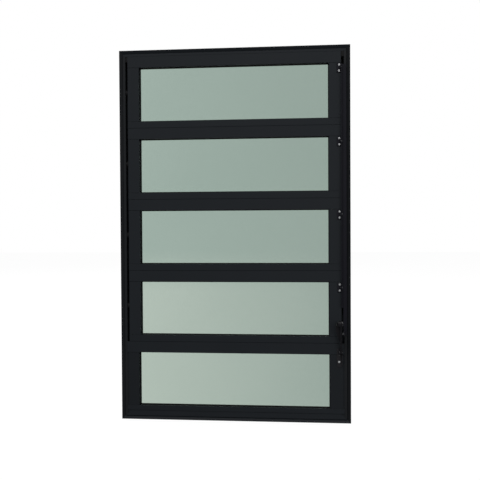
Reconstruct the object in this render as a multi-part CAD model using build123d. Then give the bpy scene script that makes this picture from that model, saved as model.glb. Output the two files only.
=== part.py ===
from build123d import *
import os

# A pivot window as seen from the room, looking along +Y towards outdoors.
# Four sashes turn about level pins, above a fixed light. A link bar at the
# right joins the sashes to one lever. The origin lies under the middle of the
# sill, +X is to the right and +Z is up. Millimetres.

# Frame
frame_width = 620
frame_height = 1000
frame_depth = 50
wall = 1.6  # of every hollow aluminium section
lip_width = 1.5  # flat edge round the outside
band_width = 10  # lip and the splayed band behind it
band_drop = 5.5  # how far the band falls back before the rib
rib_width = 7
rib_depth = 18
back_flange = 20  # outdoor flange, from the outer face
back_return = 6
upstand_height = 8.4  # of the sill, above its rib
edge_radius = 0.5

# Sashes and the glass openings between their lips
sash_count = 4
left_margin = 54.5  # outer face to the opening
right_margin = 56.5
fixed_left_margin = 49.5  # the same beside the fixed light
fixed_right_margin = 55
left_gap = 6.5  # between the jamb's rib and the sash
right_gap = 7.5  # wider, beside the link bar
sash_proud = 2  # of the frame's room face
sash_depth = 25
rebate = 7.5  # height of the lip that covers the glass edge
lip_depth = 11
head_rail_body = 17.5  # hollow part of a top rail, from its lip
foot_rail_body = 17.8  # the same on a bottom rail
room_leg_end = 29.4  # top of the leg that laps the sash above, from the lip
drip_leg_end = 36  # end of the outdoor leg that laps the sash below
joint_gap = 0.4  # seam between the faces of a stile and a rail
lap_clearance = 1.2
drip_clearance = 3.6  # lets the jamb stops pass in front of the drip legs
rail_gap = 0.5  # between a bottom rail and the leg of the sash below
head_gap = 0.5  # between the top sash's leg and the head

# Glazing
glass_thickness = 4
glass_cover = 6  # of the pane behind each lip
gasket_thickness = 2.5
gasket_cover = 5
gasket_show = 2  # in sight past the lip
back_gasket_thickness = 2
bead_clearance = 0.1

# Pivots and stops
pivot_below_lip = 66.7
pivot_radius = 4
pivot_bush_radius = 9  # closes the side gap beside each pin
pivot_clearance = 0.1
bush_clearance = 0.5
stub_length = 5
side_leg = 11  # of the stile, behind the rib
side_leg_room = 5  # below each pin, free of the leg
side_leg_clearance = 1.6
stop_lap = 7  # of a jamb stop behind the stile
stop_room = 8  # above each pin, free of the stop
stop_clearance = 1  # behind the stile
stop_thickness = 1.6
stop_foot = 12
stop_end = 16  # top of a jamb stop, above the lip and in front of the drip leg
head_stop_drop = 9

# Fixed light
fixed_rail_height = 21.5  # from the sill's rib to the lip
fixed_stile_gap = 3.5  # between rib and stile, at the face
fixed_key_depth = 1.2  # of the floor of that gap, behind the frame's face
upstand_clearance = 0.15

# Linkage
bracket_thickness = 2
bracket_width = 11
bracket_height = 24  # half above its pin, half below
bracket_inset = 0.5  # from the stile's outer side
ear_reach = 12  # in front of the bracket plate
ear_radius = 5
rivet_radius = 2.5
rivet_head_radius = 4
rivet_head = 1.2
rivet_clearance = 0.1
link_clearance = 0.4  # between ear and bar
bar_width = 14
bar_thickness = 1.8
bar_flange = 13
bar_above_pin = 9.5
bar_below_pin = 7
bar_off_frame = 2.4  # in front of the frame's room face
bar_notch_width = 5
bar_notch_above = 66  # above the lever's pin
lug_above = 13
lug_below = 9

# Lever
crank = 52  # pin to pin, along Z, on every sash and on the lever
lever_pivot_above_lip = 7  # of the fixed light
lever_pivot_reach = 12  # in front of the fixed stile's face
lever_thickness = 5
lever_blade = 11  # front to back
lever_edge = 1
lever_spacer = 4.5  # between the lever and the link bar
wing_width = 11.5  # thin part at the blade's left
wing_height = 55
wing_thickness = 4
knob_above_pin = 30
knob_width = 17
knob_height = 17
knob_depth = 13
knob_rounding = 6.4
base_width = 15
base_thickness = 2.5
base_top = 9  # above the lever's pivot
base_bottom = 40.3  # below it
cheek_thickness = 1.5
cheek_radius = 6
lever_clearance = 0.3
blind_depth = 3.5  # of the rivet that holds the link bar in the lever

# Drain slots through the sill's outdoor flange
drain_width = 20
drain_height = 4
drain_above_web = 3
drain_inset = 110  # from the frame's outer side to the slot's middle

# Fixing holes through the jambs
fixing_radius = 3
fixing_end = 200  # from each end of the jamb
fixing_depth = 18  # outdoors of the frame's middle plane

half_width = frame_width / 2
frame_front = -frame_depth / 2
frame_back = frame_depth / 2
rib_inner = band_width + rib_width
rib_back = frame_front + rib_depth
sash_front = frame_front - sash_proud
sash_back = sash_front + sash_depth
lip_back = sash_front + lip_depth
glass_front = lip_back + gasket_thickness
glass_back = glass_front + glass_thickness
bead_front = glass_back + back_gasket_thickness
bottom_margin = rib_inner + fixed_rail_height
top_margin = rib_inner + head_gap + room_leg_end
bar_height = foot_rail_body + rail_gap + room_leg_end
glass_rows_height = frame_height - top_margin - bottom_margin - sash_count * bar_height
opening_height = glass_rows_height / (sash_count + 1)
pitch = opening_height + bar_height
opening_left = -half_width + left_margin
opening_right = half_width - right_margin
fixed_left = -half_width + fixed_left_margin
fixed_right = half_width - fixed_right_margin
sash_left = -half_width + rib_inner + left_gap
sash_right = half_width - rib_inner - right_gap
pivot_y = (sash_front + sash_back) / 2
side_leg_y = rib_back + side_leg_clearance
stop_y = sash_back + stop_clearance
bracket_front = sash_front - bracket_thickness
ear_right = sash_right - bracket_inset
link_pin_y = bracket_front - ear_reach + ear_radius
link_pin_below_lip = pivot_below_lip - crank
bar_left = ear_right + link_clearance
bar_back = frame_front - bar_off_frame
bar_front = bar_back - bar_flange
lever_pivot_y = sash_front - lever_pivot_reach
lever_pivot_z = bottom_margin + opening_height + lever_pivot_above_lip
crank_reach = link_pin_y - pivot_y
lever_pin_y = lever_pivot_y + crank_reach
lever_pin_z = lever_pivot_z + crank
lug_left = bar_left + bar_notch_width
lever_right = lug_left - lever_spacer
lever_left = lever_right - lever_thickness

ROOM_TO_OUT = Vector(0, 1, 0)
UP = Vector(0, 0, 1)
DOWN = Vector(0, 0, -1)
LEFT = Vector(-1, 0, 0)
RIGHT = Vector(1, 0, 0)


def lip_bottom(row):
    """Height of the lower edge of an opening, with row 0 the fixed light."""
    return bottom_margin + row * pitch


def lip_top(row):
    return lip_bottom(row) + opening_height


def lip_sides(row):
    if row == 0:
        return fixed_left, fixed_right
    return opening_left, opening_right


def patch(a0, y0, a1, y1):
    """A rectangle between two corners of a section."""
    return Pos((a0 + a1) / 2, (y0 + y1) / 2) * Rectangle(abs(a1 - a0), abs(y1 - y0))


def soften(outline, at_depth):
    """Rounds the corners of an outline that lie at one depth."""
    corners = [v for v in outline.vertices() if abs(v.Y - at_depth) < 0.01]
    return fillet(corners, edge_radius)


def hollow(outline):
    return outline - offset(outline, -wall, kind=Kind.INTERSECTION)


def lay(section, across, middle, length):
    """A member of one section, whose first axis points along across."""
    plane = Plane(origin=middle, x_dir=across, z_dir=across.cross(ROOM_TO_OUT))
    return extrude(plane * section, amount=length / 2, both=True)


def block(x0, y0, z0, x1, y1, z1):
    centre = Pos((x0 + x1) / 2, (y0 + y1) / 2, (z0 + z1) / 2)
    return centre * Box(abs(x1 - x0), abs(y1 - y0), abs(z1 - z0))


def rod(radius, x0, x1, y, z):
    """A round bar along X."""
    return Pos((x0 + x1) / 2, y, z) * Rot(0, 90, 0) * Cylinder(radius, abs(x1 - x0))


def frame_section(upstand):
    """The frame's extrusion, from its outer face inwards."""
    band_back = frame_front + band_drop
    chamber = Polygon(
        (0, frame_front),
        (lip_width, frame_front),
        (band_width, band_back),
        (band_width, frame_front),
        (rib_inner, frame_front),
        (rib_inner, rib_back),
        (0, rib_back),
        align=None,
    )
    section = hollow(soften(chamber, frame_front))
    section += patch(0, rib_back - wall, wall, frame_back)
    section += patch(0, frame_back - wall, back_flange, frame_back)
    section += patch(back_flange - wall, frame_back - back_return, back_flange, frame_back)
    if upstand:
        section += patch(rib_inner - wall, frame_front, rib_inner + upstand, frame_front + wall)
    return section


def mitred(member, outer_a, outer_b):
    """Cuts both ends at 45 degrees, between two outer corners of the frame."""
    reach = back_flange + upstand_height
    middle = Vector(0, 0, frame_height / 2)

    def inner(corner):
        step_x = reach if corner.X < middle.X else -reach
        step_z = reach if corner.Z < middle.Z else -reach
        return corner + Vector(step_x, 0, step_z)

    outline = Polyline(outer_a, outer_b, inner(outer_b), inner(outer_a), close=True)
    return member & extrude(make_face(outline), amount=frame_depth, dir=ROOM_TO_OUT, both=True)


def drain_slot(middle_x):
    slot_z = wall + drain_above_web + drain_height / 2
    outline = Plane.XZ * Pos(middle_x, slot_z) * SlotOverall(drain_width, drain_height)
    return Pos(0, frame_back, 0) * extrude(outline, amount=2 * wall, both=True)


def frame_members():
    bottom_left = Vector(-half_width, 0, 0)
    bottom_right = Vector(half_width, 0, 0)
    top_left = Vector(-half_width, 0, frame_height)
    top_right = Vector(half_width, 0, frame_height)
    plain = frame_section(0)
    head = lay(plain, DOWN, (top_left + top_right) / 2, frame_width)
    sill = lay(frame_section(upstand_height), UP, (bottom_left + bottom_right) / 2, frame_width)
    left = lay(plain, RIGHT, (bottom_left + top_left) / 2, frame_height)
    right = lay(plain, LEFT, (bottom_right + top_right) / 2, frame_height)
    for row in range(1, sash_count + 1):
        pin_z = lip_top(row) - pivot_below_lip
        seat = pivot_radius + pivot_clearance
        left -= rod(seat, -half_width + rib_inner - 2 * wall, sash_left, pivot_y, pin_z)
        right -= rod(seat, half_width - rib_inner + 2 * wall, sash_right, pivot_y, pin_z)
    for hole_z in (fixing_end, frame_height - fixing_end):
        left -= rod(fixing_radius, -half_width - wall, -half_width + 2 * wall, fixing_depth, hole_z)
        right -= rod(fixing_radius, half_width + wall, half_width - 2 * wall, fixing_depth, hole_z)
    for side in (-1, 1):
        sill -= drain_slot(side * (half_width - drain_inset))
    return {
        "head": mitred(head, top_left, top_right),
        "sill": mitred(sill, bottom_right, bottom_left),
        "left_jamb": mitred(left, bottom_left, top_left),
        "right_jamb": mitred(right, top_right, bottom_right),
    }


def glazed_section(body, legs=None):
    """A glazed member's extrusion, from its lip outwards."""
    outline = patch(0, sash_front, rebate, lip_back) + patch(rebate, sash_front, body, sash_back)
    section = hollow(soften(outline, sash_front))
    return section + legs if legs else section


def top_rail_section():
    leg = patch(head_rail_body - wall, sash_front, room_leg_end, sash_front + wall)
    return glazed_section(head_rail_body, leg)


def bottom_rail_section():
    leg_front = sash_back + drip_clearance
    foot = patch(foot_rail_body - wall, sash_back - wall, foot_rail_body, leg_front + wall)
    leg = patch(foot_rail_body - wall, leg_front, drip_leg_end, leg_front + wall)
    return glazed_section(foot_rail_body, foot + leg)


def stile(section, across, lip_x, row):
    """A stile notched over the lips of the rails at its ends."""
    low, high = lip_bottom(row), lip_top(row)
    middle = Vector(lip_x, 0, (low + high) / 2)
    member = lay(section, across, middle, high - low + 2 * rebate)
    far_x = lip_x + across.X * frame_width
    member -= block(lip_x, sash_front, high - joint_gap, far_x, lip_back, high + rebate)
    member -= block(lip_x, sash_front, low + joint_gap, far_x, lip_back, low - rebate)
    return member


def side_leg_of(sash_side, across, row):
    """Legs below the pin that lap the rib and the end of the jamb stop from outdoors."""
    low = lip_bottom(row)
    high = lip_top(row) - pivot_below_lip - side_leg_room
    foot = low - foot_rail_body
    far_x = sash_side + across.X * side_leg
    leg_back = side_leg_y + wall
    drip_front = sash_back + drip_clearance
    drip_back = drip_front + wall
    legs = block(sash_side - across.X * wall, side_leg_y, low, far_x, leg_back, high)
    legs += block(sash_side, side_leg_y, foot, far_x, leg_back, low)
    legs += block(sash_side, side_leg_y, foot, far_x, drip_back, foot + wall)
    return legs + block(sash_side, drip_front, low - drip_leg_end, far_x, drip_back, foot + wall)


def pivot_seat(sash_side, across, row):
    pin_z = lip_top(row) - pivot_below_lip
    inside = sash_side - across.X * 2 * wall
    return rod(pivot_radius + pivot_clearance, inside, sash_side + across.X, pivot_y, pin_z)


def sash_members(row):
    middle_x = (sash_left + sash_right) / 2
    width = sash_right - sash_left
    left_section = glazed_section(opening_left - sash_left)
    right_section = glazed_section(sash_right - opening_right)
    left = stile(left_section, LEFT, opening_left, row)
    left = left + side_leg_of(sash_left, LEFT, row) - pivot_seat(sash_left, LEFT, row)
    right = stile(right_section, RIGHT, opening_right, row)
    right = right + side_leg_of(sash_right, RIGHT, row) - pivot_seat(sash_right, RIGHT, row)
    return {
        "top_rail": lay(top_rail_section(), UP, Vector(middle_x, 0, lip_top(row)), width),
        "bottom_rail": lay(bottom_rail_section(), DOWN, Vector(middle_x, 0, lip_bottom(row)), width),
        "left_stile": left,
        "right_stile": right,
    }


def ring(y0, y1, inside, outside, row):
    """A plain rectangular frame round an opening, by its cover past the lips."""
    low, high = lip_bottom(row), lip_top(row)
    left, right = lip_sides(row)
    outer = block(left - outside, y0, low - outside, right + outside, y1, high + outside)
    return outer - block(left - inside, y0, low - inside, right + inside, y1, high + inside)


def pane(row):
    cover = glass_cover
    low, high = lip_bottom(row) - cover, lip_top(row) + cover
    left, right = lip_sides(row)
    return block(left - cover, glass_front, low, right + cover, glass_back, high)


def gasket(row):
    """Rubber strips on the room side and the outdoor side of a pane."""
    room_strip = ring(lip_back, glass_front, -gasket_show, gasket_cover, row)
    return room_strip + ring(glass_back, bead_front, -gasket_show, gasket_cover, row)


def bead(row):
    """The angle that holds the pane from outdoors."""
    face = ring(sash_back - wall, sash_back, 0, rebate - bead_clearance, row)
    return face + ring(bead_front, sash_back, 0, wall, row)


def fixed_light_members():
    """Transom, bottom rail and stiles, fast between the jambs."""
    rib_left = -half_width + rib_inner
    rib_right = half_width - rib_inner
    transom = lay(top_rail_section(), UP, Vector(0, 0, lip_top(0)), rib_right - rib_left)
    tongue_front = frame_front + wall + upstand_clearance
    rail_face = lip_bottom(0) - rib_inner - upstand_height - upstand_clearance
    outline = patch(0, sash_front, rebate, lip_back) + patch(rebate, sash_front, rail_face, sash_back)
    outline += patch(rebate, tongue_front, lip_bottom(0) - rib_inner, sash_back)
    rail_section = hollow(soften(outline, sash_front))
    rail = lay(rail_section, DOWN, Vector(0, 0, lip_bottom(0)), rib_right - rib_left)
    members = {"transom": transom, "fixed_bottom_rail": rail}
    for name, across, lip_x, rib_x in (
        ("fixed_left_stile", LEFT, fixed_left, rib_left),
        ("fixed_right_stile", RIGHT, fixed_right, rib_right),
    ):
        width = abs(rib_x - lip_x)
        key_front = frame_front + fixed_key_depth
        key = patch(width - fixed_stile_gap - wall, key_front, width, key_front + wall)
        section = glazed_section(width - fixed_stile_gap, key)
        members[name] = stile(section, across, lip_x, 0)
    return members


def pivots():
    """A stub and bush at each side of every sash, between stile and jamb."""
    pins = []
    for row in range(1, sash_count + 1):
        pin_z = lip_top(row) - pivot_below_lip
        for sash_side, rib_x, out in (
            (sash_left, -half_width + rib_inner, -1),
            (sash_right, half_width - rib_inner, 1),
        ):
            stub = rod(pivot_radius, sash_side - out * 2 * wall, rib_x + out * stub_length, pivot_y, pin_z)
            bush_out = rib_x - out * bush_clearance
            pins.append(stub + rod(pivot_bush_radius, sash_side, bush_out, pivot_y, pin_z))
    return Compound(children=pins)


def jamb_stops():
    """Angle strips on the jambs that close the gap above each pivot."""
    strips = []
    for row in range(1, sash_count + 1):
        low = lip_top(row) - pivot_below_lip + stop_room
        high = frame_height - wall if row == sash_count else lip_top(row) + stop_end
        for sash_side, out in ((sash_left, -1), (sash_right, 1)):
            web_x = out * (half_width - wall)
            foot_x = web_x - out * stop_thickness
            lap_x = sash_side - out * stop_lap
            blade = block(web_x, stop_y, low, lap_x, stop_y + stop_thickness, high)
            strips.append(blade + block(web_x, stop_y, low, foot_x, stop_y + stop_foot, high))
    return strips


def head_stop():
    """Angle under the head's rib, behind the leg of the top sash."""
    seat_z = frame_height - rib_inner
    blade_front = sash_front + wall + lap_clearance
    plate = block(sash_left, blade_front, seat_z - wall, sash_right, rib_back, seat_z)
    blade_back = blade_front + wall
    return plate + block(sash_left, blade_front, seat_z - head_stop_drop, sash_right, blade_back, seat_z)


def link_bracket(row):
    """Plate on the right stile with an ear for a rivet of the link bar."""
    pin_z = lip_top(row) - link_pin_below_lip
    low, high = pin_z - bracket_height / 2, pin_z + bracket_height / 2
    plate = block(ear_right - bracket_width, bracket_front, low, ear_right, sash_front, high)
    ear_left = ear_right - bracket_thickness
    ear = block(ear_left, link_pin_y, pin_z - ear_radius, ear_right, sash_front, pin_z + ear_radius)
    ear += rod(ear_radius, ear_left, ear_right, link_pin_y, pin_z)
    ear -= rod(rivet_radius + rivet_clearance, ear_left, ear_right, link_pin_y, pin_z)
    return plate + ear


def rivet(left_x, right_x, y, z):
    """A shank with a flat head outside each of the two plates it joins."""
    shank = rod(rivet_radius, left_x - rivet_head, right_x + rivet_head, y, z)
    left_head = rod(rivet_head_radius, left_x - rivet_head, left_x, y, z)
    return shank + left_head + rod(rivet_head_radius, right_x, right_x + rivet_head, y, z)


def link_rivets():
    ear_left = ear_right - bracket_thickness
    flange_right = bar_left + bar_thickness
    rivets = []
    for row in range(1, sash_count + 1):
        pin_z = lip_top(row) - link_pin_below_lip
        rivets.append(rivet(ear_left, flange_right, link_pin_y, pin_z))
    shank = rod(rivet_radius, lever_right - blind_depth, lug_left + bar_thickness, lever_pin_y, lever_pin_z)
    head_left = lug_left + bar_thickness
    shank += rod(rivet_head_radius, head_left, head_left + rivet_head, lever_pin_y, lever_pin_z)
    rivets.append(shank + rod(rivet_head_radius, lever_right, lug_left, lever_pin_y, lever_pin_z))
    return Compound(children=rivets)


def link_bar():
    """Angle bar whose flange takes the rivets, cut back above the lever."""
    top = lip_top(sash_count) - link_pin_below_lip + bar_above_pin
    bottom = lever_pin_z - bar_below_pin
    notch = lever_pin_z + bar_notch_above
    web_front = bar_back - bar_thickness
    bar = block(bar_left, web_front, notch, bar_left + bar_width, bar_back, top)
    bar += block(bar_left, bar_front, notch, bar_left + bar_thickness, bar_back, top)
    bar += block(lug_left, web_front, bottom, bar_left + bar_width, bar_back, notch)
    lug_right = lug_left + bar_thickness
    lug_low = lever_pin_z - lug_below
    lug_high = lever_pin_z + lug_above
    bar += block(lug_left, lever_pin_y, lug_low, lug_right, bar_back, lug_high)
    bar += rod(lug_below, lug_left, lug_right, lever_pin_y, lever_pin_z)
    seat = rivet_radius + rivet_clearance
    for row in range(1, sash_count + 1):
        pin_z = lip_top(row) - link_pin_below_lip
        bar -= rod(seat, bar_left, bar_left + bar_thickness, link_pin_y, pin_z)
    return bar - rod(seat, lug_left, lug_right, lever_pin_y, lever_pin_z)


def lever():
    """Leaning blade with a thin wing beside it and a rounded knob on top."""
    foot = Vector(0, lever_pivot_y, lever_pivot_z)
    crank_line = Vector(0, lever_pin_y, lever_pin_z) - foot
    lean = crank_line.normalized()
    face = Plane(origin=foot, x_dir=RIGHT, z_dir=RIGHT.cross(lean))
    half = lever_blade / 2
    top = crank_line.length + knob_above_pin
    blade = extrude(face * patch(lever_left, 0, lever_right, top), amount=half, both=True)
    blade = fillet(blade.edges().filter_by(Axis((0, 0, 0), lean)), lever_edge)
    blade += rod(half, lever_left, lever_right, lever_pivot_y, lever_pivot_z)
    tip = Pos((lever_left + lever_right - wing_width / 2) / 2, top, 0)
    knob = face.location * tip * Box(knob_width, knob_height, knob_depth)
    body = blade + wing(face, top) + fillet(knob.edges(), knob_rounding)
    seat = rivet_radius + rivet_clearance
    body -= rod(seat, lever_left, lever_right, lever_pivot_y, lever_pivot_z)
    blind_end = lever_right - blind_depth - lever_clearance
    return body - rod(seat, blind_end, lever_right, lever_pin_y, lever_pin_z)


def wing(face, top):
    """The thin part, which widens in a curve up to the knob."""
    outer = lever_left - wing_width
    low = top - wing_height
    curve = Bezier(
        (lever_left, low),
        (lever_left - wing_width * 0.35, low + wing_height * 0.25),
        (outer, low + wing_height * 0.5),
        (outer, low + wing_height * 0.8),
    )
    edge = curve + Polyline(curve @ 1, (outer, top), (lever_left, top), curve @ 0)
    back = Pos(0, 0, -lever_blade / 2)
    return extrude(face * back * make_face(edge), amount=wing_thickness)


def lever_base():
    """Screwed plate with a wall at its right, a cheek at its left and a pin between."""
    right = lever_right + lever_clearance + cheek_thickness
    left = right - base_width
    top = lever_pivot_z + base_top
    round_z = lever_pivot_z - base_bottom + base_width / 2
    plate_front = sash_front - base_thickness
    base = block(left, plate_front, round_z, right, sash_front, top)
    foot = Pos((left + right) / 2, (plate_front + sash_front) / 2, round_z)
    base += foot * Rot(90, 0, 0) * Cylinder(base_width / 2, base_thickness)
    cheek_left = lever_left - lever_clearance - cheek_thickness
    for near, low in ((lever_right + lever_clearance, round_z), (cheek_left, lever_pivot_z - cheek_radius)):
        far = near + cheek_thickness
        base += block(near, lever_pivot_y, low, far, sash_front, lever_pivot_z + cheek_radius)
        base += rod(cheek_radius, near, far, lever_pivot_y, lever_pivot_z)
    return base + rod(rivet_radius, cheek_left, right, lever_pivot_y, lever_pivot_z)


def window():
    nodes = frame_members()
    rows = range(1, sash_count + 1)
    for row in rows:
        number = sash_count + 1 - row
        for name, piece in sash_members(row).items():
            nodes[f"sash_{number}_{name}"] = piece
        nodes[f"sash_{number}_glass"] = pane(row)
        nodes[f"sash_{number}_gasket"] = gasket(row)
    nodes.update(fixed_light_members())
    nodes["fixed_glass"] = pane(0)
    nodes["fixed_gasket"] = gasket(0)
    nodes["glazing_beads"] = Compound(children=[bead(row) for row in (0, *rows)])
    nodes["frame_stops"] = Compound(children=[head_stop(), *jamb_stops()])
    nodes["pivots"] = pivots()
    nodes["link_brackets"] = Compound(children=[link_bracket(row) for row in rows])
    nodes["link_bar"] = link_bar()
    nodes["link_rivets"] = link_rivets()
    nodes["lever"] = lever()
    nodes["lever_base"] = lever_base()
    return nodes


os.makedirs("parts", exist_ok=True)
for node, shape in window().items():
    export_step(shape, f"parts/{node}.step")
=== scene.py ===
import math

import bmesh
import bpy
from mathutils import Matrix, Vector


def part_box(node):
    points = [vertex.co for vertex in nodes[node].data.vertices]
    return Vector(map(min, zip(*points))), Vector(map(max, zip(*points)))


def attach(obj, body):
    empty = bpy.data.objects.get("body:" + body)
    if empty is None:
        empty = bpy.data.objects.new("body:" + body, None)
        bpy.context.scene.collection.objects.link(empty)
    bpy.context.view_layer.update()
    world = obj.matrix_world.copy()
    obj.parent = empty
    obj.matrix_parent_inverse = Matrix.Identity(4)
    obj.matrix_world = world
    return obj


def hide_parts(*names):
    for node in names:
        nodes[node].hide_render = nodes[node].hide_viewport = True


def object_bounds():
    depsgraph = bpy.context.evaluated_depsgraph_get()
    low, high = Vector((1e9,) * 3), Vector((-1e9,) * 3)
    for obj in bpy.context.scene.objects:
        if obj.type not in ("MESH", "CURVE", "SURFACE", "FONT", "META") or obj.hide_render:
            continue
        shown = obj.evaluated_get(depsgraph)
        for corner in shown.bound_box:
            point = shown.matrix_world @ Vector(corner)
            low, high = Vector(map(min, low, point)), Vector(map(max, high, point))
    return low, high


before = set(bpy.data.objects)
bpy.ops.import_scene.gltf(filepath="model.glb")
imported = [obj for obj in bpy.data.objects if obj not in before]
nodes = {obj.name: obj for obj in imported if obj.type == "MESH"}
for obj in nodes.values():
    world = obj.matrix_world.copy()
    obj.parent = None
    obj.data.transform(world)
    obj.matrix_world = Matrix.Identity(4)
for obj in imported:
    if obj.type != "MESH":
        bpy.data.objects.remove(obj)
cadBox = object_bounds()
scene = bpy.context.scene
print("window frame loaded:", len(nodes), "nodes")

sashNumbers = (1, 2, 3, 4)  # from the top down
mm = 0.001


# the camera stands where the photograph was taken from
cameraSetup = {
    "place": (0.2497, -2.1517, 0.5354),
    "turnLeft": 6.256,  # degrees, as the two below
    "tiltUp": -1.286,
    "roll": 0.317,
    "lens": 60.0,
    "sensor": 36.0,
    "near": 0.05,
    "far": 60.0,
}


def addCamera(setup):
    data = bpy.data.cameras.new("photoCamera")
    data.lens = setup["lens"]
    data.sensor_width = setup["sensor"]
    data.clip_start = setup["near"]
    data.clip_end = setup["far"]
    camera = bpy.data.objects.new("photoCamera", data)
    turn = Matrix.Rotation(math.radians(setup["turnLeft"]), 4, "Z")
    tilt = Matrix.Rotation(math.radians(setup["tiltUp"]), 4, "X")
    roll = Matrix.Rotation(math.radians(setup["roll"]), 4, "Y")
    upright = Matrix.Rotation(math.radians(90), 4, "X")
    camera.matrix_world = Matrix.Translation(setup["place"]) @ turn @ tilt @ roll @ upright
    scene.collection.objects.link(camera)
    scene.camera = camera


addCamera(cameraSetup)


# node helpers for the materials
def startMaterial(name):
    material = bpy.data.materials.new(name)
    material.use_nodes = True
    tree = material.node_tree
    shader = tree.nodes["Principled BSDF"]
    return material, tree, shader


def objectCoords(tree, stretch=(1.0, 1.0, 1.0)):
    coords = tree.nodes.new("ShaderNodeTexCoord")
    mapping = tree.nodes.new("ShaderNodeMapping")
    mapping.inputs["Scale"].default_value = stretch
    tree.links.new(coords.outputs["Object"], mapping.inputs["Vector"])
    return mapping.outputs["Vector"]


def noise(tree, vector, scale, detail=3.0, rough=0.5):
    node = tree.nodes.new("ShaderNodeTexNoise")
    node.inputs["Scale"].default_value = scale
    node.inputs["Detail"].default_value = detail
    node.inputs["Roughness"].default_value = rough
    tree.links.new(vector, node.inputs["Vector"])
    return node.outputs["Fac"]


def spread(tree, value, low, high, fromLow=0.3, fromHigh=0.7):
    node = tree.nodes.new("ShaderNodeMapRange")
    node.inputs["From Min"].default_value = fromLow
    node.inputs["From Max"].default_value = fromHigh
    node.inputs["To Min"].default_value = low
    node.inputs["To Max"].default_value = high
    tree.links.new(value, node.inputs["Value"])
    return node.outputs["Result"]


def calc(tree, operation, first, second=None, third=None):
    node = tree.nodes.new("ShaderNodeMath")
    node.operation = operation
    for socket, value in zip(node.inputs, (first, second, third)):
        if value is None:
            continue
        if isinstance(value, (int, float)):
            socket.default_value = value
        else:
            tree.links.new(value, socket)
    return node.outputs["Value"]


def mixColours(tree, factor, first, second):
    node = tree.nodes.new("ShaderNodeMix")
    node.data_type = "RGBA"
    tree.links.new(factor, node.inputs["Factor"])
    for socket, value in ((node.inputs[6], first), (node.inputs[7], second)):
        if isinstance(value, tuple):
            socket.default_value = (*value, 1.0)
        else:
            tree.links.new(value, socket)
    return node.outputs[2]


def addBump(tree, shader, height, strength, distance):
    node = tree.nodes.new("ShaderNodeBump")
    node.inputs["Strength"].default_value = strength
    node.inputs["Distance"].default_value = distance
    tree.links.new(height, node.inputs["Height"])
    tree.links.new(node.outputs["Normal"], shader.inputs["Normal"])


# powder coat on the extrusions, with faint lines along their length and dust on level faces
coatLook = {
    "colour": (0.0137, 0.0172, 0.0213),
    "faded": (0.0165, 0.0203, 0.0248),
    "dust": (0.050, 0.050, 0.048),
    "roughLow": 0.54,
    "roughHigh": 0.64,
    "specular": 0.20,
    "patchScale": 7.0,
    "lineScale": 420.0,
    "lineStretch": 0.02,
    "grainScale": 1500.0,
    "dustScale": 60.0,
    "levelFrom": 0.75,  # upward share of the normal where dust begins
    "lineShare": 0.6,
    "grainShare": 0.4,
    "bump": 0.10,
    "bumpDepth": 0.0002,
}
mitreSeam = {
    "colour": (0.001, 0.001, 0.001),
    "darkWithin": 0.00012,  # metres from the seam
    "goneBeyond": 0.00030,
}


# an upward face holds dust, in patches
def settledDust(tree, plain, look):
    geometry = tree.nodes.new("ShaderNodeNewGeometry")
    split = tree.nodes.new("ShaderNodeSeparateXYZ")
    tree.links.new(geometry.outputs["Normal"], split.inputs["Vector"])
    facesUp = spread(tree, split.outputs["Z"], 0.0, 0.5, look["levelFrom"], 1.0)
    patches = noise(tree, plain, look["dustScale"], 5.0, 0.7)
    return calc(tree, "MULTIPLY", facesUp, spread(tree, patches, 0.0, 1.0, 0.42, 0.7))


# 1 on the hairlines where the frame's mitred ends meet
def mitreLine(tree, seam):
    coords = tree.nodes.new("ShaderNodeTexCoord")
    split = tree.nodes.new("ShaderNodeSeparateXYZ")
    tree.links.new(coords.outputs["Object"], split.inputs["Vector"])
    low, high = cadBox
    acrossX = calc(tree, "SUBTRACT", high.x, calc(tree, "ABSOLUTE", split.outputs["X"]))
    fromFoot = calc(tree, "SUBTRACT", split.outputs["Z"], low.z)
    fromHead = calc(tree, "SUBTRACT", high.z, split.outputs["Z"])
    acrossZ = calc(tree, "MINIMUM", fromFoot, fromHead)
    offLine = calc(tree, "ABSOLUTE", calc(tree, "SUBTRACT", acrossX, acrossZ))
    return spread(tree, offLine, 1.0, 0.0, seam["darkWithin"], seam["goneBeyond"])


# the extrusion runs along X or Z
def satinCoat(name, look, along, seam=None):
    material, tree, shader = startMaterial(name)
    plain = objectCoords(tree)
    thin = look["lineStretch"]
    drawn = objectCoords(tree, (thin, 1.0, 1.0) if along == "X" else (1.0, 1.0, thin))
    patches = noise(tree, plain, look["patchScale"], 4.0, 0.55)
    lines = noise(tree, drawn, look["lineScale"], 2.0, 0.6)
    grain = noise(tree, plain, look["grainScale"], 2.0, 0.6)
    colour = mixColours(tree, spread(tree, patches, 0.0, 1.0), look["colour"], look["faded"])
    colour = mixColours(tree, settledDust(tree, plain, look), colour, look["dust"])
    if seam:
        colour = mixColours(tree, mitreLine(tree, seam), colour, seam["colour"])
    tree.links.new(colour, shader.inputs["Base Color"])
    rough = spread(tree, patches, look["roughLow"], look["roughHigh"])
    tree.links.new(rough, shader.inputs["Roughness"])
    shader.inputs["Specular IOR Level"].default_value = look["specular"]
    fine = calc(tree, "MULTIPLY", grain, look["grainShare"])
    height = calc(tree, "MULTIPLY_ADD", lines, look["lineShare"], fine)
    addBump(tree, shader, height, look["bump"], look["bumpDepth"])
    return material


leverLook = {
    "colour": (0.0092, 0.0086, 0.0112),
    "lighter": (0.0118, 0.0112, 0.0140),
    "rubbed": (0.020, 0.0195, 0.0225),
    "roughLow": 0.42,
    "roughHigh": 0.52,
    "specular": 0.3,
    "patchScale": 25.0,
    "rubScale": 90.0,
    "grainScale": 900.0,
    "bump": 0.12,
    "bumpDepth": 0.0002,
}


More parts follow.
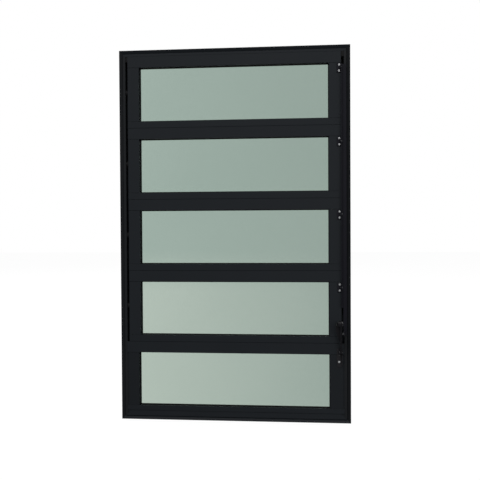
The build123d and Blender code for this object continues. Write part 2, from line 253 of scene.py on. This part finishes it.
# smooth satin paint on a casting, rubbed in places by hands
def castCoat(look):
    material, tree, shader = startMaterial("leverPaint")
    plain = objectCoords(tree)
    patches = noise(tree, plain, look["patchScale"], 4.0, 0.6)
    grain = noise(tree, plain, look["grainScale"], 3.0, 0.6)
    rubbed = spread(tree, noise(tree, plain, look["rubScale"], 4.0, 0.7), 0.0, 0.35, 0.55, 0.75)
    colour = mixColours(tree, spread(tree, patches, 0.0, 1.0), look["colour"], look["lighter"])
    colour = mixColours(tree, rubbed, colour, look["rubbed"])
    tree.links.new(colour, shader.inputs["Base Color"])
    rough = spread(tree, patches, look["roughLow"], look["roughHigh"])
    tree.links.new(rough, shader.inputs["Roughness"])
    shader.inputs["Specular IOR Level"].default_value = look["specular"]
    addBump(tree, shader, grain, look["bump"], look["bumpDepth"])
    return material


zincLook = {
    "colour": (0.60, 0.61, 0.62),
    "lighter": (0.74, 0.75, 0.75),
    "roughLow": 0.52,
    "roughHigh": 0.66,
    "metallic": 1.0,
    "spotScale": 350.0,
    "grainScale": 2600.0,
    "bump": 0.15,
    "bumpDepth": 0.0001,
}
blackenedLook = {
    "colour": (0.030, 0.031, 0.033),
    "lighter": (0.075, 0.076, 0.078),
    "roughLow": 0.36,
    "roughHigh": 0.52,
    "metallic": 0.8,
    "spotScale": 260.0,
    "grainScale": None,  # its spots are also its grain
    "bump": 0.10,
    "bumpDepth": 0.0001,
}


def fastenerMetal(name, look):
    material, tree, shader = startMaterial(name)
    plain = objectCoords(tree)
    spots = noise(tree, plain, look["spotScale"], 4.0, 0.6)
    grain = noise(tree, plain, look["grainScale"], 2.0, 0.6) if look["grainScale"] else spots
    colour = mixColours(tree, spread(tree, spots, 0.0, 1.0), look["colour"], look["lighter"])
    tree.links.new(colour, shader.inputs["Base Color"])
    shader.inputs["Metallic"].default_value = look["metallic"]
    rough = spread(tree, spots, look["roughLow"], look["roughHigh"])
    tree.links.new(rough, shader.inputs["Roughness"])
    addBump(tree, shader, grain, look["bump"], look["bumpDepth"])
    return material


nylonLook = {
    "colour": (0.004, 0.004, 0.0045),
    "lighter": (0.006, 0.006, 0.0065),
    "roughLow": 0.60,
    "roughHigh": 0.72,
    "specular": 0.2,
    "patchScale": 40.0,
    "grainScale": 700.0,
    "bump": 0.15,
    "bumpDepth": 0.0002,
}
rubberLook = dict(
    nylonLook, colour=(0.007, 0.007, 0.0075), lighter=(0.012, 0.012, 0.0125),
    roughHigh=0.78, grainScale=1200.0)


def softPlastic(name, look):
    material, tree, shader = startMaterial(name)
    plain = objectCoords(tree)
    patches = noise(tree, plain, look["patchScale"], 3.0, 0.5)
    grain = noise(tree, plain, look["grainScale"], 3.0, 0.6)
    colour = mixColours(tree, spread(tree, patches, 0.0, 1.0), look["colour"], look["lighter"])
    tree.links.new(colour, shader.inputs["Base Color"])
    rough = spread(tree, patches, look["roughLow"], look["roughHigh"])
    tree.links.new(rough, shader.inputs["Roughness"])
    shader.inputs["Specular IOR Level"].default_value = look["specular"]
    addBump(tree, shader, grain, look["bump"], look["bumpDepth"])
    return material


glassLook = {
    "tint": (0.302, 0.385, 0.340),
    "tintThin": (0.320, 0.402, 0.356),
    "roughLow": 0.0,
    "roughHigh": 0.02,
    "index": 1.5,
    "driftScale": 2.2,
    "filmScale": 36.0,
    "waveScale": 1.5,
    "bump": 0.02,
    "bumpDepth": 0.001,
}


# grey-green float glass, with a faint film of dust
def tintedGlass(look):
    material, tree, shader = startMaterial("tintedGlass")
    plain = objectCoords(tree)
    drift = noise(tree, plain, look["driftScale"], 2.0, 0.5)
    film = noise(tree, plain, look["filmScale"], 5.0, 0.65)
    colour = mixColours(tree, spread(tree, drift, 0.0, 1.0), look["tint"], look["tintThin"])
    tree.links.new(colour, shader.inputs["Base Color"])
    rough = spread(tree, film, look["roughLow"], look["roughHigh"], 0.45, 0.8)
    tree.links.new(rough, shader.inputs["Roughness"])
    shader.inputs["IOR"].default_value = look["index"]
    shader.inputs["Transmission Weight"].default_value = 1.0
    wave = noise(tree, plain, look["waveScale"], 1.0, 0.4)
    addBump(tree, shader, wave, look["bump"], look["bumpDepth"])
    return material


# darker copies of the coat: the fixed light's stiles and the jambs are a little darker than the
# sashes
fixedLook = dict(coatLook, colour=(0.0114, 0.0143, 0.0177), faded=(0.0137, 0.0169, 0.0206))
jambLook = dict(coatLook, colour=(0.0122, 0.0138, 0.0158), faded=(0.0146, 0.0163, 0.0185))
barLook = dict(
    coatLook, colour=(0.0062, 0.0063, 0.0120), faded=(0.0074, 0.0075, 0.0134),
    roughLow=0.56, roughHigh=0.66)
finishes = {
    "frameLevel": satinCoat("frameCoatLevel", coatLook, "X", mitreSeam),
    "frameUpright": satinCoat("frameCoatUpright", jambLook, "Z", mitreSeam),
    "sashLevel": satinCoat("sashCoatLevel", coatLook, "X"),
    "sashUpright": satinCoat("sashCoatUpright", coatLook, "Z"),
    "fixedUpright": satinCoat("fixedCoatUpright", fixedLook, "Z"),
    "bar": satinCoat("barCoat", barLook, "Z"),
    "lever": castCoat(leverLook),
    "zinc": fastenerMetal("zincSteel", zincLook),
    "blackened": fastenerMetal("blackenedSteel", blackenedLook),
    "nylon": softPlastic("blackNylon", nylonLook),
    "rubber": softPlastic("sealRubber", rubberLook),
    "glass": tintedGlass(glassLook),
}
print("finishes made:", len(finishes))


def finishOf(name):
    if name in ("head", "sill"):
        return finishes["frameLevel"]
    if name in ("left_jamb", "right_jamb", "frame_stops"):
        return finishes["frameUpright"]
    if name.endswith("glass"):
        return finishes["glass"]
    if name.endswith("gasket"):
        return finishes["rubber"]
    if name.startswith("fixed") and name.endswith("stile"):
        return finishes["fixedUpright"]
    if name.endswith("stile"):
        return finishes["sashUpright"]
    if name in ("link_bar", "link_brackets"):
        return finishes["bar"]
    if name in ("lever", "lever_base"):
        return finishes["lever"]
    if name == "pivots":
        return finishes["nylon"]
    if name == "link_rivets":
        return finishes["blackened"]
    return finishes["sashLevel"]


def dress(piece, material):
    if not piece.material_slots:
        piece.data.materials.append(material)
    for slot in piece.material_slots:
        slot.material = material


for name, piece in nodes.items():
    dress(piece, finishOf(name))


def finishPiece(name, mesh, material, smoothAngle):
    bmesh.ops.recalc_face_normals(mesh, faces=mesh.faces)
    data = bpy.data.meshes.new(name)
    mesh.to_mesh(data)
    mesh.free()
    piece = bpy.data.objects.new(name, data)
    scene.collection.objects.link(piece)
    data.materials.append(material)
    data.shade_smooth()
    data.set_sharp_from_angle(angle=math.radians(smoothAngle))
    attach(piece, "root")
    return piece


mergeDistance = 1e-6


# spins a half outline of (radius, height) points about Z
def turned(mesh, profile, steps):
    verts = [mesh.verts.new((radius, 0.0, height)) for radius, height in profile]
    edges = [mesh.edges.new(pair) for pair in zip(verts, verts[1:])]
    bmesh.ops.spin(
        mesh, geom=verts + edges, cent=(0, 0, 0), axis=(0, 0, 1), angle=math.tau,
        steps=steps, use_merge=True, use_duplicate=False)
    bmesh.ops.remove_doubles(mesh, verts=mesh.verts, dist=mergeDistance)
    bmesh.ops.recalc_face_normals(mesh, faces=mesh.faces)


def copyInto(target, source, place):
    copied = source.copy()
    bmesh.ops.transform(copied, matrix=place, verts=copied.verts)
    data = bpy.data.meshes.new("passing")
    copied.to_mesh(data)
    copied.free()
    target.from_mesh(data)
    bpy.data.meshes.remove(data)


panScrew = {
    "headRadius": 3.1 * mm,
    "headHeight": 2.0 * mm,
    "shankRadius": 1.9 * mm,
    "shankLength": 1.9 * mm,
    "slotWidth": 0.95 * mm,
    "slotLength": 3.7 * mm,
    "slotDepth": 1.2 * mm,
    "steps": 32,
    "smoothAngle": 25.0,
    "bracketPlate": 2.0 * mm,
    "fromPin": 8.0 * mm,  # above and below the link pin
    "fromOuterSide": 4.0 * mm,
    "turns": (12, 55, 31, 78, 5, 40, 66, 22),  # of the recesses, in degrees
    "basePlate": 2.5 * mm,
    "baseMiddle": 6.4 * mm,  # from the left side of the lever's base
    "leverScrews": (  # height over the base's foot, turn, finish
        ("leverFootScrew", 14.3 * mm, 64, "zinc"),
        # the upper screw takes the blackened finish as painted shade: its dark colour stands in
        # for the shadow that the lever's base and cheek cast on it
        ("leverUpperScrewPaintedShade", 30.5 * mm, 17, "blackened"),
    ),
}


# a pan head with a cross recess, its seat at z = 0 and its head up
def panScrewMesh(size):
    radius, height = size["headRadius"], size["headHeight"]
    head = bmesh.new()
    turned(head, [
        (0.0, -size["shankLength"]),
        (size["shankRadius"], -size["shankLength"]),
        (size["shankRadius"], 0.0),
        (radius * 0.97, 0.0),
        (radius, height * 0.12),
        (radius, height * 0.38),
        (radius * 0.93, height * 0.68),
        (radius * 0.76, height * 0.88),
        (radius * 0.45, height * 0.98),
        (0.0, height),
    ], size["steps"])
    data = bpy.data.meshes.new("screwHead")
    head.to_mesh(data)
    head.free()
    blank = bpy.data.objects.new("screwHead", data)
    scene.collection.objects.link(blank)
    cross = bmesh.new()
    slot = (size["slotLength"], size["slotWidth"], size["slotDepth"] * 2)
    for turn in (0.0, math.pi / 2):
        made = bmesh.ops.create_cube(cross, size=1.0)["verts"]
        bmesh.ops.scale(cross, verts=made, vec=slot)
        low = [vert for vert in made if vert.co.z < 0]
        bmesh.ops.scale(cross, verts=low, vec=(0.45, 0.8, 1.0))  # the arms taper inwards
        bmesh.ops.rotate(cross, verts=made, matrix=Matrix.Rotation(turn, 3, "Z"))
        bmesh.ops.translate(cross, verts=made, vec=(0, 0, height))
    cutData = bpy.data.meshes.new("crossRecess")
    cross.to_mesh(cutData)
    cross.free()
    cutter = bpy.data.objects.new("crossRecess", cutData)
    scene.collection.objects.link(cutter)
    cut = blank.modifiers.new("recess", "BOOLEAN")
    cut.operation = "DIFFERENCE"
    cut.solver = "EXACT"
    cut.use_self = True
    cut.object = cutter
    viewed = blank.evaluated_get(bpy.context.evaluated_depsgraph_get())
    shaped = bpy.data.meshes.new_from_object(viewed)
    screw = bmesh.new()
    screw.from_mesh(shaped)
    for thing in (blank, cutter):
        bpy.data.objects.remove(thing)
    bpy.data.meshes.remove(shaped)
    return screw


# a place for a screw that points its head at the room
def faceRoom(x, y, z, turn):
    place = Matrix.Translation((x, y, z)) @ Matrix.Rotation(math.radians(90), 4, "X")
    return place @ Matrix.Rotation(math.radians(turn), 4, "Z")


lipFit = {
    "glassCover": 6.0 * mm,  # of a pane behind the lip above it
    "pinBelowLip": 14.7 * mm,
}


def lipHeight(number):
    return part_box(f"sash_{number}_glass")[1].z - lipFit["glassCover"]


# the link pin is half way up the bracket on each sash
def linkPinHeight(number):
    return lipHeight(number) - lipFit["pinBelowLip"]


def addScrews(size):
    screw = panScrewMesh(size)
    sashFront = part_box("sash_1_right_stile")[0].y
    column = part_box("link_brackets")[1].x - size["fromOuterSide"]
    plateFront = sashFront - size["bracketPlate"]
    group = bmesh.new()
    turns = iter(size["turns"])
    for number in sashNumbers:
        pinHeight = linkPinHeight(number)
        for step in (size["fromPin"], -size["fromPin"]):
            copyInto(group, screw, faceRoom(column, plateFront, pinHeight + step, next(turns)))
    finishPiece("bracketScrews", group, finishes["zinc"], size["smoothAngle"])
    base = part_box("lever_base")[0]
    middle = base.x + size["baseMiddle"]
    plateFront = sashFront - size["basePlate"]
    for name, above, turn, finish in size["leverScrews"]:
        single = bmesh.new()
        copyInto(single, screw, faceRoom(middle, plateFront, base.z + above, turn))
        finishPiece(name, single, finishes[finish], size["smoothAngle"])
    screw.free()


addScrews(panScrew)


domedRivet = {
    "headRadius": 4.0 * mm,
    "headHeight": 1.2 * mm,
    "shankRadius": 2.5 * mm,
    "steps": 28,
    "smoothAngle": 30.0,
    "earThickness": 2.0 * mm,
    "flangeThickness": 1.8 * mm,
    "pinInEar": 5.0 * mm,  # from the ear's front
    "lugLeft": 5.0 * mm,  # from the bar's left side
    "collarLength": 4.5 * mm,  # between the lever and the bar
    "blindDepth": 3.5 * mm,  # in the lever
}


# one end of a rivet, with its head on the side that it points to
def rivetEnd(mesh, size, side, x, y, z, length):
    radius, height, shank = size["headRadius"], size["headHeight"], size["shankRadius"]
    part = bmesh.new()
    turned(part, [
        (0.0, -length), (shank, -length), (shank, 0.0), (radius, 0.0),
        (radius, height * 0.25), (radius * 0.9, height * 0.62),
        (radius * 0.62, height * 0.9), (radius * 0.3, height), (0.0, height),
    ], size["steps"])
    aim = Matrix.Rotation(math.radians(90 * side), 4, "Y")
    copyInto(mesh, part, Matrix.Translation((x, y, z)) @ aim)
    part.free()


def spacerCollar(mesh, size, x, y, z):
    radius, bevel, shank = size["headRadius"], size["headHeight"] * 0.2, size["shankRadius"]
    length = size["collarLength"]
    part = bmesh.new()
    turned(part, [
        (shank, 0.0), (radius * 0.92, 0.0), (radius, bevel), (radius, length - bevel),
        (radius * 0.92, length), (shank, length),
    ], size["steps"])
    aim = Matrix.Rotation(math.radians(90), 4, "Y")
    copyInto(mesh, part, Matrix.Translation((x, y, z)) @ aim)
    part.free()


def addRivets(size):
    low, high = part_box("link_rivets")
    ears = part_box("link_brackets")
    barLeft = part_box("link_bar")[0].x
    earLeft = ears[1].x - size["earThickness"]
    flangeRight = barLeft + size["flangeThickness"]
    pinY = ears[0].y + size["pinInEar"]
    half = (flangeRight - earLeft) / 2
    group = bmesh.new()
    for number in sashNumbers:
        pinHeight = linkPinHeight(number)
        rivetEnd(group, size, -1, earLeft, pinY, pinHeight, half)
        rivetEnd(group, size, 1, flangeRight, pinY, pinHeight, half)
    radius = size["headRadius"]
    leverPin = Vector((high.x - size["headHeight"], low.y + radius, low.z + radius))
    leverRight = barLeft + size["lugLeft"] - size["collarLength"]
    reach = leverPin.x - leverRight + size["blindDepth"]
    rivetEnd(group, size, 1, leverPin.x, leverPin.y, leverPin.z, reach)
    spacerCollar(group, size, leverRight, leverPin.y, leverPin.z)
    rivets = finishPiece("linkRivetHeads", group, finishes["blackened"], size["smoothAngle"])
    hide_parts("link_rivets")


addRivets(domedRivet)
print("screws and rivets made")


sealPads = {
    "ribInner": 17.0 * mm,  # from the frame's outer sides
    "jambInner": 4.0 * mm,  # from the same, where the lower pads end
    "fromSash": 0.3 * mm,  # beside the upper pads
    "behindSash": 1.0 * mm,  # how far the lower pads reach behind it
    "cornerBack": 2.8 * mm,  # behind the sash's front
    "cornerHeight": 13.5 * mm,
    "pressed": 0.3 * mm,  # into the rib
    "stopBack": 26.1 * mm,  # behind the sash's front
    "stopEnd": 58.7 * mm,  # below the lip
    "drop": 3.5 * mm,
    "rise": 1.0 * mm,
    "thickness": 1.4 * mm,
    "rounding": 0.3 * mm,
    "smoothAngle": 30.0,
}


def padBlock(mesh, size, first, second):
    made = bmesh.ops.create_cube(mesh, size=1.0)["verts"]
    spans = [abs(a - b) for a, b in zip(first, second)]
    bmesh.ops.scale(mesh, verts=made, vec=spans)
    bmesh.ops.translate(mesh, verts=made, vec=(Vector(first) + Vector(second)) / 2)
    edges = list({edge for vert in made for edge in vert.link_edges})
    bmesh.ops.bevel(
        mesh, geom=edges, offset=size["rounding"], segments=2, profile=0.5,
        affect="EDGES", material=-1)


# soft pads that close the corners under the head and the ends of the jamb stops
def addSealPads(size):
    low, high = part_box("sash_1_top_rail")
    outerX = cadBox[1].x
    top = cadBox[1].z - size["ribInner"]
    cornerY = low.y + size["cornerBack"]
    stopY = low.y + size["stopBack"]
    group = bmesh.new()
    for side, sashEdge in ((-1, low.x), (1, high.x)):
        near = sashEdge + side * size["fromSash"]
        rib = side * (outerX - size["ribInner"] + size["pressed"])
        padBlock(
            group, size, (near, cornerY, top - size["cornerHeight"]),
            (rib, cornerY + size["thickness"], top + size["pressed"]))
        inner = sashEdge - side * size["behindSash"]
        far = side * (outerX - size["jambInner"])
        for number in sashNumbers:
            end = lipHeight(number) - size["stopEnd"]
            padBlock(
                group, size, (inner, stopY, end - size["drop"]),
                (far, stopY + size["thickness"], end + size["rise"]))
    finishPiece("sealPads", group, finishes["rubber"], size["smoothAngle"])


addSealPads(sealPads)
print("seal pads made")


paleFloor = {
    "halfSize": 12.0,
    "colour": (0.08, 0.08, 0.08, 1.0),
    "rough": 0.9,
    "white": 0.97,  # its glow, for the eye alone
}


def addFloor(setup):
    mesh = bmesh.new()
    bmesh.ops.create_grid(mesh, x_segments=8, y_segments=8, size=setup["halfSize"])
    data = bpy.data.meshes.new("paleFloor")
    mesh.to_mesh(data)
    mesh.free()
    floor = bpy.data.objects.new("paleFloor", data)
    scene.collection.objects.link(floor)
    material, tree, shader = startMaterial("paleFloorPaint")
    shader.inputs["Base Color"].default_value = setup["colour"]
    shader.inputs["Roughness"].default_value = setup["rough"]
    shader.inputs["Specular IOR Level"].default_value = 0.0
    shader.inputs["Emission Color"].default_value = (1.0, 1.0, 1.0, 1.0)
    shader.inputs["Emission Strength"].default_value = setup["white"]
    data.materials.append(material)
    floor.visible_diffuse = False
    floor.visible_glossy = False
    floor.visible_transmission = False
    floor.visible_shadow = False


# each fall is two strengths and the two shares of the direction between which it runs
worldLight = {
    "white": (1.0, 1.0, 1.0),
    "behindGlass": (1.0, 1.0, 1.0),
    "leftward": (1.12, 0.94, -0.26, 0.02),
    "warmLow": (1.0, 0.72, 0.70),
    "lower": (1.0, 0.0, -0.085, -0.035),
    "leftLow": (0.34, 0.05, -0.24, 0.03),
    "ambient": (0.68, 0.69, 0.71),
    "fromFront": (0.42, 0.07, -0.85, -0.30),
    "fromBack": (0.0, 0.30, 0.30, 0.85),
}


# white for the eye, with a slow fall of light behind the glass, and a dim studio for the surfaces
def addWorld(setup):
    world = bpy.data.worlds.new("studioWorld")
    scene.world = world
    world.use_nodes = True
    tree = world.node_tree
    tree.nodes.clear()
    output = tree.nodes.new("ShaderNodeOutputWorld")
    path = tree.nodes.new("ShaderNodeLightPath")
    coords = tree.nodes.new("ShaderNodeTexCoord")
    split = tree.nodes.new("ShaderNodeSeparateXYZ")
    tree.links.new(coords.outputs["Generated"], split.inputs["Vector"])

    def fall(axis, name):
        return spread(tree, split.outputs[axis], *setup[name])

    def lamp(colour, strength=None):
        node = tree.nodes.new("ShaderNodeBackground")
        node.inputs["Color"].default_value = (*colour, 1.0)
        if strength is not None:
            tree.links.new(strength, node.inputs["Strength"])
        return node.outputs["Background"]

    def mix(factor, first, second):
        node = tree.nodes.new("ShaderNodeMixShader")
        tree.links.new(factor, node.inputs["Fac"])
        tree.links.new(first, node.inputs[1])
        tree.links.new(second, node.inputs[2])
        return node.outputs["Shader"]

    lowLeft = calc(tree, "MULTIPLY", fall("Z", "lower"), fall("X", "leftLow"))
    through = tree.nodes.new("ShaderNodeAddShader")
    tree.links.new(lamp(setup["behindGlass"], fall("X", "leftward")), through.inputs[0])
    tree.links.new(lamp(setup["warmLow"], lowLeft), through.inputs[1])
    around = calc(tree, "ADD", fall("Y", "fromFront"), fall("Y", "fromBack"))
    dim = lamp(setup["ambient"], around)
    seen = mix(path.outputs["Is Transmission Ray"], dim, through.outputs["Shader"])
    shown = mix(path.outputs["Is Camera Ray"], seen, lamp(setup["white"]))
    tree.links.new(shown, output.inputs["Surface"])


softboxTarget = (0.0, 0.0, 0.5)
softboxes = {  # place, width, height, power
    "keySoftbox": ((-0.6, -5.0, 4.8), 3.0, 2.0, 128.0),
    "sideSoftbox": ((1.15, -3.0, 1.0), 1.4, 1.4, 11.5),
    "backSoftbox": ((-2.6, 4.8, 4.4), 3.0, 2.0, 110.0),
    "leftEdgeSoftbox": ((-4.2, 1.6, 1.8), 2.0, 2.0, 90.0),
    "rightEdgeSoftbox": ((4.2, 1.6, 1.8), 2.0, 2.0, 90.0),
}


def addSoftbox(name, place, width, height, power):
    data = bpy.data.lights.new(name, "AREA")
    data.shape = "RECTANGLE"
    data.size = width
    data.size_y = height
    data.energy = power
    lamp = bpy.data.objects.new(name, data)
    toTarget = Vector(softboxTarget) - Vector(place)
    aim = toTarget.to_track_quat("-Z", "Y").to_matrix().to_4x4()
    lamp.matrix_world = Matrix.Translation(place) @ aim
    lamp.visible_camera = False
    lamp.visible_transmission = False
    scene.collection.objects.link(lamp)


addFloor(paleFloor)
addWorld(worldLight)
for name, values in softboxes.items():
    addSoftbox(name, *values)
scene.view_settings.view_transform = "Standard"
scene.view_settings.look = "None"
print("floor, world and lights set")
